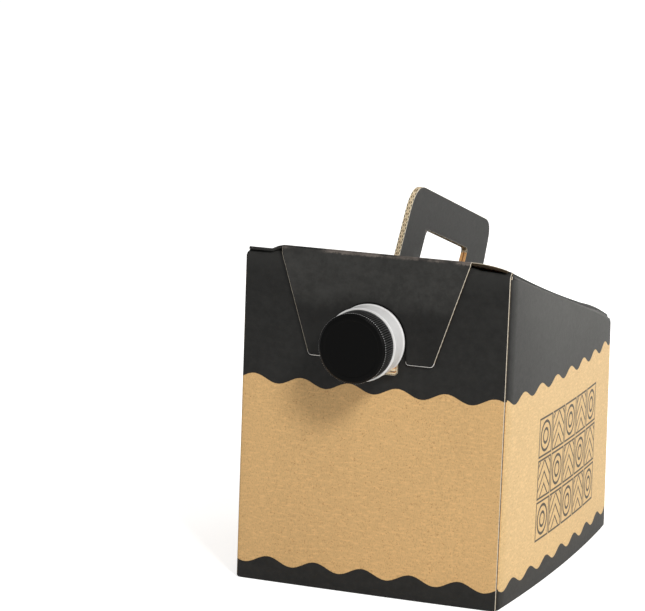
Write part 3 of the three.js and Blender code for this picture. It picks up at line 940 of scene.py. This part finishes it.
class CARTON_OT_lid(bpy.types.Operator):
    """Lays the lid over the side flaps, with its slot for the handle"""
    bl_idname = "carton.lid"
    bl_label = "Lid"

    def cut_slot(self, along):
        """Cuts the slot, and the lid in line with the flap's sides"""
        s = sizes()
        left, right, clearance = -2.2 * MM, 2.9 * MM, 0.6 * MM
        front = s.handle_start - clearance
        rear = s.handle_start + s.handle_length + clearance
        for x in (left, right, -s.flap_top_width / 2, s.flap_top_width / 2):
            select_everything()
            bpy.ops.mesh.bisect(plane_co=(x, 0, 0), plane_no=(1, 0, 0))
        for u in (front, rear):
            select_everything()
            bpy.ops.mesh.bisect(plane_co=on_roof(0, u, 0), plane_no=along)
        pick("FACE", lambda p: left < p.x < right and front < roof_place(p)[0] < rear)
        bpy.ops.mesh.delete(type="FACE")

    def recut(self, p, finish):
        """Print on the underside's front strip, which at the right is painted shade in the gap over the
        walls, and on the cuts at the sides and the left front
        """
        s = sizes()
        inner, strip, side_reach, side_start = 1, 5 * MM, 3 * MM, 3 * MM
        u, _ = roof_place(p)
        # The black on the underside's front strip is painted shade where the lid gapes over the walls.
        if finish == inner:
            return 0 if u < strip else finish
        at_side = abs(p.x) > s.lid_width / 2 - side_reach and u > side_start
        at_front = u < 0 and p.x < s.flap_top_width / 2 - 0.3 * MM
        return 0 if at_side or at_front else finish

    def execute(self, context):
        s = sizes()
        _, along, off, angle = roof_axes()
        fold_radius, front_edge = 2.6 * MM, -1.2 * MM
        rear_corner = roof_length() - LID_TOP * math.tan(angle)
        rear_edge = rear_corner - fold_radius * math.tan((math.pi / 2 - angle) / 2)
        object_mode()
        bpy.ops.mesh.primitive_grid_add(x_subdivisions=44, y_subdivisions=48, size=1)
        piece = context.object
        piece.name = "lid"

        def laid(p):
            return on_roof(p.x * s.lid_width, front_edge + (p.y + 0.5) * (rear_edge - front_edge), LID_TOP)

        reshape(piece, laid)
        edit(piece)
        self.cut_slot(along)
        pick("EDGE", lambda p: roof_place(p)[0] > rear_edge - NEAR)
        fold(along, -off, fold_radius, math.pi / 2 - angle)
        pick("EDGE", lambda p: roof_place(p)[0] < front_edge + NEAR and abs(p.x) < s.flap_top_width / 2)
        fold(-along, -off, FLAP_FOLD, (math.pi / 2 + angle) / 2 - HALF_FOLD_GAP)
        object_mode()

        def raised(p):
            u, _ = roof_place(p)
            return pinched(p + off * (rise(p.x, u) + right_wave(p.x, u)))

        reshape(piece, raised)
        face_outwards(piece, on_roof(0.04, 0.1, 0), off)
        lid_print = black_board("lid_print", front_fold_distance, 1.5)
        thicken(piece, [lid_print, inner_board(), raw_edge(shaded_behind_burr=True)], recut=self.recut)
        settle(piece, "carton", "black_board")
        return {"FINISHED"}


class CARTON_OT_handle(bpy.types.Operator):
    """Raises the two plies of the handle through the lid"""
    bl_idname = "carton.handle"
    bl_label = "Handle"

    def outlines(self):
        """The ply's outline and its hand hole's, with Y along the roof and Z off it"""
        s = sizes()
        start, end, top = s.handle_start, s.handle_start + s.handle_length, s.handle_height
        leg = (s.handle_length - s.hole_length) / 2
        foot, straight = -s.board / 2, 5 * MM
        belly, belly_share, drawn_in = 2.2 * MM, 0.4, 2.8 * MM

        def at(u, v, radius=0):
            return Vector((0, u, v)), radius * MM

        around = rounded([
            at(start, foot), at(end, foot), at(end, straight, 3), at(end + belly, top * belly_share, 7),
            at(end - drawn_in, top, 12), at(start, top, 16)], 10)
        hole = rounded([
            at(start + leg, foot + s.board), at(end - leg, foot + s.board),
            at(end - leg, s.hole_top, 4), at(start + leg, s.hole_top, 5)])
        return around, hole

    def ply(self, name, side, spread):
        s = sizes()
        top = s.handle_height
        around, hole = self.outlines()
        piece = trace(name, around, closed=True)
        hole_piece = trace("hand_hole", hole, closed=True)
        take_up(piece)
        hole_piece.select_set(True)
        bpy.ops.object.join()
        edit(piece)
        select_everything()
        bpy.ops.mesh.fill()
        object_mode()
        leg = (s.handle_length - s.hole_length) / 2
        face_outwards(piece, Vector((0, s.handle_start + leg / 2, top / 2)), RIGHT * side)
        hole_rear = s.handle_start + s.handle_length - leg

        def recut(p, finish):
            return 1 if abs(p.y - hole_rear) < 0.5 * MM and p.z < s.hole_top - 3 * MM else finish

        handle_print = black_board(name + "_print", handle_rim_distance, 0.65)
        thicken(piece, [handle_print, inner_board(), raw_edge()], recut=recut)
        gap, lean, ripple = 0.05 * MM, math.tan(math.radians(7.5)), 30

        def stood(p):
            u, v = p.y, p.z
            opening = spread * MM * max(1 - v / top, 0) * (0.5 - 0.5 * math.sin(u * ripple))
            x = p.x + side * (s.board + gap + opening) + lean * max(v, 0)
            return on_roof(x, u, v + rise(0, u))

        reshape(piece, stood)
        settle(piece, "carton", "black_board")

    def execute(self, context):
        self.ply("handle_right_ply", 1, 0.5)
        self.ply("handle_left_ply", -1, 0.6)
        return {"FINISHED"}


class CARTON_OT_closing_flap(bpy.types.Operator):
    """Cuts the closing flap, with its notch for the spout, and rolls it over the lid's fold"""
    bl_idname = "carton.closing_flap"
    bl_label = "Closing flap"

    def execute(self, context):
        s, k = sizes(), spout()
        _, _, _, angle = roof_axes()
        face_y = -115.15 * MM
        lid_top = LID_TOP + s.lid_rise
        fold_z = s.front_height + lid_top / math.cos(angle) - (face_y + s.depth / 2) * math.tan(angle)
        top = fold_z - FLAP_FOLD * math.tan((math.pi / 2 + angle) / 2)
        wide, narrow, bottom = s.flap_top_width / 2, s.flap_bottom_width / 2, s.flap_bottom
        right_trim, corner, notch, arch_steps = 1.4 * MM, 2.1 * MM, 21.5 * MM, 24

        def at(x, z):
            return Vector((x, face_y, z))

        right_half = rounded([
            (at(wide, top), 0), (at(narrow - right_trim, bottom), corner),
            (at(SPOUT_X + notch, bottom), corner), (at(SPOUT_X + notch, k.height), 0)])
        left_half = rounded([
            (at(SPOUT_X - notch, k.height), 0), (at(SPOUT_X - notch, bottom), corner),
            (at(-narrow, bottom), corner), (at(-wide, s.front_height), 0)])
        turns = [math.pi * i / arch_steps for i in range(1, arch_steps)]
        arch = [at(SPOUT_X + notch * math.cos(t), k.height + notch * math.sin(t)) for t in turns]
        piece = sheet("closing_flap_board", right_half + arch + left_half + [at(-wide, top)])
        pick("EDGE", lambda p: p.z > top - NEAR)
        fold(UP, REARWARD, FLAP_FOLD, (math.pi / 2 + angle) / 2 - HALF_FOLD_GAP)
        object_mode()
        face_outwards(piece, at(0, top - 5 * MM), -REARWARD)
        edge = 2

        def recut(p, finish):
            at_fold = p.z > top + FLAP_FOLD / 2 and abs(p.x) < wide - 0.5 * MM
            in_notch = abs(p.x - SPOUT_X) < notch + 0.3 * MM and bottom + corner < p.z < top
            return 0 if (at_fold or in_notch) and finish == edge else finish

        flap_print = black_board("flap_print", front_fold_distance, 0.8, sunlit=True)
        flap_edge = raw_edge(shaded_behind_burr=True, pale_below=bottom / MM + 2)
        thicken(piece, [flap_print, inner_board(), flap_edge], recut=recut)
        settle(piece, "flap", "black_board", "closing_flap")
        return {"FINISHED"}


def turned(name, profile, steps):
    """A profile of radius and distance out from the front panel, spun round the spout's axis"""
    s, k = sizes(), spout()
    centre = Vector((SPOUT_X, -s.depth / 2 - s.front_bow, k.height))
    piece = trace(name, [centre + RIGHT * radius - REARWARD * out for radius, out in profile])
    bpy.ops.mesh.spin(steps=steps, angle=math.tau, center=centre, axis=(0, 1, 0))
    select_everything()
    bpy.ops.mesh.remove_doubles(threshold=0.002 * MM)
    bpy.ops.mesh.normals_make_consistent(inside=False)
    object_mode()
    return piece, centre


class CARTON_OT_spout(bpy.types.Operator):
    """Turns the spout with its weld flange, collar and threaded neck"""
    bl_idname = "carton.spout"
    bl_label = "Spout"

    def execute(self, context):
        s, k = sizes(), spout()
        start, end = k.collar_start, k.collar_start + k.collar_length
        neck_end = end + k.finish_length
        lip, lip_slope = 1.3 * MM, 0.3 * MM
        flange_radius, neck_radius = 26 * MM, 18 * MM
        flange_front = -s.board - 0.3 * MM
        flange_rear = flange_front - 2.2 * MM
        profile = [
            (k.bore_radius, flange_rear), (flange_radius, flange_rear), (flange_radius, flange_front),
            (neck_radius, flange_front), (neck_radius, start), (k.collar_radius, start),
            (k.collar_radius, start + lip), (k.waist_radius, start + lip + lip_slope),
            (k.waist_radius, end - lip - lip_slope), (k.collar_radius, end - lip), (k.collar_radius, end),
            (k.finish_radius, end), (k.finish_radius, neck_end), (k.bore_radius, neck_end),
            (k.bore_radius, flange_rear)]
        piece, centre = turned("spout_body", profile, 112)
        modify(piece, "BEVEL", width=0.28 * MM, segments=3, limit_method="ANGLE",
               angle_limit=math.radians(25))
        finish = moulded_plastic("white_fitment", tuple(colours().fitment), 0.34, 0.12)
        piece.data.materials.append(finish)
        smooth(piece)
        settle(piece, "carton", "white_plastic", "spout_fitment")
        self.thread(centre, end, finish)
        return {"FINISHED"}

    def thread(self, centre, start, finish):
        """A rounded crest that winds a little over one and a half turns round the neck"""
        k = spout()
        pitch, turns, width, crest, sunk = 4.2 * MM, 1.6, 1.5 * MM, 0.65 * MM, 0.1 * MM
        steps, lead_in = 90, 2.2 * MM
        section = [(-width / 2, -sunk), (-width / 4, crest), (width / 4, crest), (width / 2, -sunk)]
        first = centre - REARWARD * (start + lead_in)
        points = [first + RIGHT * (k.finish_radius + out) - REARWARD * shift for shift, out in section]
        piece = trace("spout_thread", points, closed=True)
        turn = Matrix.Rotation(math.tau * turns / steps, 3, "Y")
        for _ in range(steps):
            pull(-REARWARD * pitch * turns / steps)
            mesh = bmesh.from_edit_mesh(piece.data)
            bmesh.ops.rotate(mesh, verts=[v for v in mesh.verts if v.select], cent=centre, matrix=turn)
            bmesh.update_edit_mesh(piece.data)
        mesh = bmesh.from_edit_mesh(piece.data)
        bmesh.ops.holes_fill(mesh, edges=[e for e in mesh.edges if e.is_boundary], sides=4)
        bmesh.update_edit_mesh(piece.data)
        select_everything()
        bpy.ops.mesh.normals_make_consistent(inside=False)
        object_mode()
        piece.data.materials.append(finish)
        smooth(piece, 50)
        settle(piece, "carton", "white_plastic")


class CARTON_OT_cap(bpy.types.Operator):
    """Turns the cap and cuts the grooves between its ribs"""
    bl_idname = "carton.cap"
    bl_label = "Cap"

    def execute(self, context):
        k = spout()
        collar_end = k.collar_start + k.collar_length
        base, face = collar_end + 0.3 * MM, collar_end + k.finish_length + 2.9 * MM
        chamfer, top, wall = 1.3 * MM, 1.3 * MM, 1.5 * MM
        rim_round, rim_width, step, dish = 0.5 * MM, 2.4 * MM, 0.3 * MM, 0.15 * MM
        plain, run_in, rib_start = 1 * MM, 0.5 * MM, 0.5 * MM
        inner = k.cap_radius - k.rib_depth - wall
        profile = [
            (0, face - top), (inner, face - top), (inner, base), (k.cap_radius, base),
            (k.cap_radius, base + plain), (k.cap_radius, face - chamfer - 0.4 * MM),
            (k.cap_radius, face - chamfer), (k.cap_top_radius, face - 0.1 * MM),
            (k.cap_top_radius - rim_round, face), (k.cap_top_radius - rim_width, face),
            (k.cap_top_radius - rim_width - step, face - dish), (0, face - dish)]
        piece, centre = turned("cap_shell", profile, 4 * k.rib_count)

        def ribbed(p):
            arm = Vector((p.x - centre.x, 0, p.z - centre.z))
            if arm.length < k.cap_radius - 0.3 * MM:
                return p
            groove = 0.5 - 0.5 * math.cos(math.atan2(arm.z, arm.x) * k.rib_count)
            reach = min(max((centre.y - p.y - base - rib_start) / run_in, 0), 1)
            return p - arm.normalized() * k.rib_depth * groove * reach

        reshape(piece, ribbed)
        piece.data.materials.append(self.finish(centre, face - chamfer))
        smooth(piece, 20)
        settle(piece, "cap", "black_plastic", "cap")
        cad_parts["cap_liner"].data.materials.clear()
        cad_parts["cap_liner"].data.materials.append(foam_finish())
        return {"FINISHED"}

    def finish(self, centre, shoulder):
        """Black plastic, with painted highlights on the rib crests and where the ribs run out at the
        chamfer
        """
        finish = Finish("black_cap")
        rgb, rib_crest_highlight_tone, rib_end_highlight_tone = tuple(colours().cap), (0.06, 0.06, 0.06), (0.7, 0.7, 0.7)
        x, y, z = finish.axes()
        out_x, out_z = x - centre.x / MM, z - centre.z / MM
        radius = (out_x * out_x + out_z * out_z).math("SQRT")
        rib_end_highlight = (y - (centre.y - shoulder) / MM).size().below(0.15, 0.4)
        on_rib = (radius - (spout().cap_radius - spout().rib_depth / 2) / MM).above(0.0, 0.1)
        scuffs = finish.noise(700, 4, 0.7).above(0.6, 0.75)
        tone = finish.mix(rgb, scaled(rgb, 2.2), scuffs * 0.6)
        # Painted highlight: the rib crests are lighter.
        tone = finish.mix(tone, rib_crest_highlight_tone, on_rib * 0.8)
        # Painted highlight: light ticks where the ribs run out at the chamfer.
        tone = finish.mix(tone, rib_end_highlight_tone, rib_end_highlight * on_rib)
        grain = finish.bump(finish.noise(2400, 2, 0.6), 0.12, 0.0001)
        return finish.shade(Base_Color=tone, Roughness=0.34 + scuffs * 0.15, Normal=grain,
                            Specular_IOR_Level=0.08)


class CARTON_OT_support_tab(bpy.types.Operator):
    """Adds the small board tab that the collar sits on"""
    bl_idname = "carton.support_tab"
    bl_label = "Support tab"

    def execute(self, context):
        s, k = sizes(), spout()
        face_y = -s.depth / 2 - s.front_bow - s.board + 0.05 * MM
        half_width, drop, corner, layer_pitch = 16.5 * MM, 18.2 * MM, 0.8 * MM, 2.3 * MM
        left, right, low = SPOUT_X - half_width, SPOUT_X + half_width, k.height - drop

        def at(x, z):
            return Vector((x, face_y, z))

        piece = sheet("spout_support_tab", rounded([
            (at(left, k.height), 0), (at(right, k.height), 0),
            (at(right, low), corner), (at(left, low), corner)]))
        object_mode()
        face_outwards(piece, at(0, k.height), -REARWARD)
        inner = inner_board()
        thicken(piece, [inner, inner, raw_edge()])
        settle(piece, "carton", "printed_board")
        for i, name in enumerate(("support_fold_lower", "support_fold_upper")):
            self.shelf(name, left, right, face_y, low + i * layer_pitch, inner)
        return {"FINISHED"}

    def shelf(self, name, left, right, face_y, level, inner):
        """A layer of the tab that is folded out flat under the collar"""
        front_y = face_y - 3.4 * MM
        corners = ((left, face_y), (right, face_y), (right, front_y), (left, front_y))
        piece = sheet(name, [Vector((x, y, level)) for x, y in corners])
        object_mode()
        face_outwards(piece, Vector((SPOUT_X, face_y, level)), -UP)
        thicken(piece, [inner, inner, raw_edge()])
        settle(piece, "carton", "printed_board")


class CARTON_OT_bag(bpy.types.Operator):
    """Crinkles the filled bag inside the carton"""
    bl_idname = "carton.bag"
    bl_label = "Bag"

    def execute(self, context):
        object_mode()
        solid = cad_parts["bag"]
        piece = bpy.data.objects.new("filled_bag", solid.data.copy())
        context.scene.collection.objects.link(piece)
        piece.data.materials.clear()
        edit(piece)
        select_everything()
        bpy.ops.mesh.remove_doubles(threshold=0.01 * MM)
        object_mode()
        modify(piece, "REMESH", mode="VOXEL", voxel_size=3 * MM)
        modify(piece, "SMOOTH", factor=0.5, iterations=4)
        low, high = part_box("bag")
        middle_x = (low.x + high.x) / 2
        crease_scale, draw_in = 28, 0.012

        def crinkled(p):
            creases = noise.fractal(p * crease_scale, 0.8, 2.2, 4)
            return Vector((p.x + (middle_x - p.x) * draw_in * (1 + creases), p.y, p.z))

        reshape(piece, crinkled)
        piece.data.materials.append(film_finish())
        smooth(piece, 60)
        settle(piece, "carton", "bag_film", "bag")
        return {"FINISHED"}


class CARTON_OT_stage(bpy.types.Operator):
    """Sets the floor, the lamps, the world and the camera"""
    bl_idname = "carton.stage"
    bl_label = "Stage"

    def lamp(self, name, place, width, power, tint=(1, 1, 1)):
        """A soft lamp that looks at the carton's middle"""
        target = Vector((0, 0, 0.1))
        object_mode()
        bpy.ops.object.light_add(type="AREA", location=place)
        lamp = bpy.context.object
        lamp.name = name
        lamp.data.size = width
        lamp.data.energy = power
        lamp.data.color = tint
        lamp.rotation_euler = (target - Vector(place)).to_track_quat("-Z", "Y").to_euler()

    def floor(self, context):
        """A pale floor that the camera sees almost white"""
        object_mode()
        bpy.ops.mesh.primitive_plane_add(size=12)
        floor = context.object
        floor.name = "floor"
        finish = Finish("pale_floor")
        rgb = tuple(colours().floor)
        tone = finish.mix(rgb, scaled(rgb, 1.03), finish.noise(3, 2))
        camera_ray = finish.node("ShaderNodeLightPath", None, None, "Is Camera Ray")
        glow = finish.mix((0, 0, 0), (1, 1, 1), camera_ray)
        finish.shade(Base_Color=tone, Roughness=0.9, Emission_Color=glow, Emission_Strength=0.68)
        floor.data.materials.append(finish.material)

    def world(self, context):
        """Soft light all round, and white where the camera sees past the floor"""
        white = (1, 1, 1, 1)
        studio = Surroundings("Studio")
        soft = studio.node("ShaderNodeBackground", None, {"Color": white, "Strength": 0.34})
        backdrop = studio.node("ShaderNodeBackground", None, {"Color": white})
        camera_ray = studio.node("ShaderNodeLightPath", None, None, "Is Camera Ray")
        light = studio.node("ShaderNodeMixShader", None, {0: camera_ray, 1: soft, 2: backdrop})
        studio.give(studio.tree.nodes["World Output"].inputs["Surface"], light)
        context.scene.world = studio.world

    def camera(self, context):
        """The camera, placed and turned as the picture was fitted"""
        yaw, pitch, roll = math.radians(20.85), math.radians(10.01), math.radians(-2.03)
        level_ahead = Vector((-math.sin(yaw), math.cos(yaw), 0))
        ahead = level_ahead * math.cos(pitch) - UP * math.sin(pitch)
        level = Vector((math.cos(yaw), math.sin(yaw), 0))
        below = ahead.cross(level)
        across = level * math.cos(roll) + below * math.sin(roll)
        downwards = below * math.cos(roll) - level * math.sin(roll)
        object_mode()
        bpy.ops.object.camera_add(location=(0.5507, -1.6418, 0.4550))
        camera = context.object
        camera.name = "camera"
        camera.rotation_euler = Matrix((across, -downwards, -ahead)).transposed().to_euler()
        camera.data.sensor_width = 36
        camera.data.lens = 162.74
        camera.data.clip_end = 30
        context.scene.camera = camera

    def execute(self, context):
        self.floor(context)
        self.lamp("key", (1.7, -1.9, 2.1), 0.7, 66, (1.0, 0.985, 0.96))
        self.lamp("side", (2.2, 0.5, 1.0), 1.2, 16.8)
        self.lamp("sheen", (1.25, 2.6, 0.45), 1.3, 31, (1.0, 0.98, 0.92))
        self.world(context)
        self.camera(context)
        context.scene.view_settings.view_transform = "Standard"
        return {"FINISHED"}


class CARTON_PT_panel(bpy.types.Panel):
    """Lists the steps and the sizes of the carton"""
    bl_idname = "CARTON_PT_panel"
    bl_label = "Drinks carton"
    bl_space_type = "VIEW_3D"
    bl_region_type = "UI"
    bl_category = "Carton"

    def draw(self, context):
        for step in STEPS:
            self.layout.operator(step.bl_idname)
        for group in (sizes(), spout(), colours()):
            for name in group.__annotations__:
                self.layout.prop(group, name)


STEPS = (
    CARTON_OT_walls, CARTON_OT_base, CARTON_OT_lid, CARTON_OT_handle, CARTON_OT_closing_flap,
    CARTON_OT_support_tab, CARTON_OT_spout, CARTON_OT_cap, CARTON_OT_bag, CARTON_OT_stage)
GROUPS = {"carton_sizes": CartonSizes, "spout_sizes": SpoutSizes, "carton_colours": CartonColours}


def register():
    for name, group in GROUPS.items():
        bpy.utils.register_class(group)
        setattr(bpy.types.Scene, name, bpy.props.PointerProperty(type=group))
    for part in (*STEPS, CARTON_PT_panel):
        bpy.utils.register_class(part)


def unregister():
    for part in (CARTON_PT_panel, *reversed(STEPS)):
        bpy.utils.unregister_class(part)
    for name, group in GROUPS.items():
        delattr(bpy.types.Scene, name)
        bpy.utils.unregister_class(group)


def main():
    register()
    for step in STEPS:
        area, action = step.bl_idname.split(".")
        getattr(getattr(bpy.ops, area), action)()
    object_mode()


if __name__ == "__main__":
    main()
